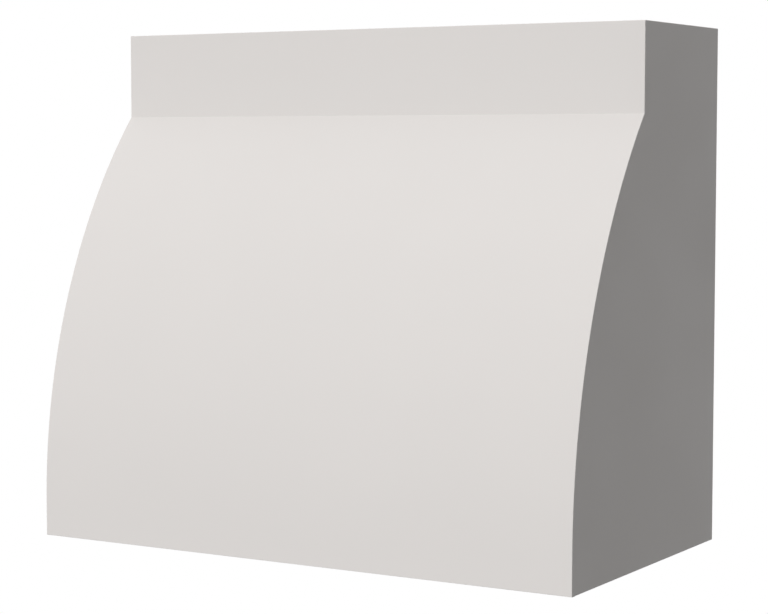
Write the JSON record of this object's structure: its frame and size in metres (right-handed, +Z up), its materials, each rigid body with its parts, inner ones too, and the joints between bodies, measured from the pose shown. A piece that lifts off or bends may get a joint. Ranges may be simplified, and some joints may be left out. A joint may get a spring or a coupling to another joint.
{
  "type": "wooden range hood cover",
  "caption": "Curved-front wooden cover for a kitchen range hood, with a straight top band and flat sides, hung on the wall by a French cleat, open at the back and top.",
  "frame": {"origin": "on the wall plane, at the middle of the bottom rim", "axes": "+X to the right as seen from the room, +Y into the wall, +Z up"},
  "size_m": [1.067, 0.581, 0.92],
  "materials": {
    "painted_wood": "off-white satin paint, sprayed over primed maple-faced board",
    "painted_panel": "off-white satin paint on its underside, bare birch plywood above",
    "bending_plywood": "bare bending plywood, sanded, with paint on its outer edges",
    "birch_plywood": "bare birch plywood, sanded, with visible layers on its edges",
    "solid_poplar": "bare planed poplar",
    "zinc_screws": "zinc-plated steel"
  },
  "bodies": {
    "wall_mount": {"wall_cleat": "birch_plywood"},
    "cover": {"side_panel_left": "painted_wood", "side_panel_right": "painted_wood", "front_band": "painted_wood", "curved_facing": "painted_wood", "bottom_panel": "painted_panel", "curved_backing": "bending_plywood", "side_doubler_left": "birch_plywood", "side_doubler_right": "birch_plywood", "top_front_rail": "birch_plywood", "bottom_front_rail": "birch_plywood", "hanging_rail": "birch_plywood", "lower_back_rail": "birch_plywood", "hood_cleat": "birch_plywood", "rib_outer_left": "birch_plywood", "rib_inner_left": "birch_plywood", "rib_inner_right": "birch_plywood", "rib_outer_right": "birch_plywood", "insert_runner_back": "birch_plywood", "insert_runner_front": "birch_plywood", "crease_rail": "solid_poplar", "corner_block_left": "solid_poplar", "corner_block_right": "solid_poplar", "ledger_left": "solid_poplar", "ledger_right": "solid_poplar", "ledger_front": "solid_poplar", "ledger_back": "solid_poplar", "pocket_screws": "zinc_screws", "cleat_screws": "zinc_screws", "ledger_screws": "zinc_screws", "bottom_panel_screws": "zinc_screws", "insert_runner_screws": "zinc_screws"}
  },
  "joints": [
    {"name": "lift_off", "type": "slide", "parent": "wall_mount", "child": "cover", "axis": [0, -0.7071, 0.7071], "range_m": [0, 0.06]}
  ]
}
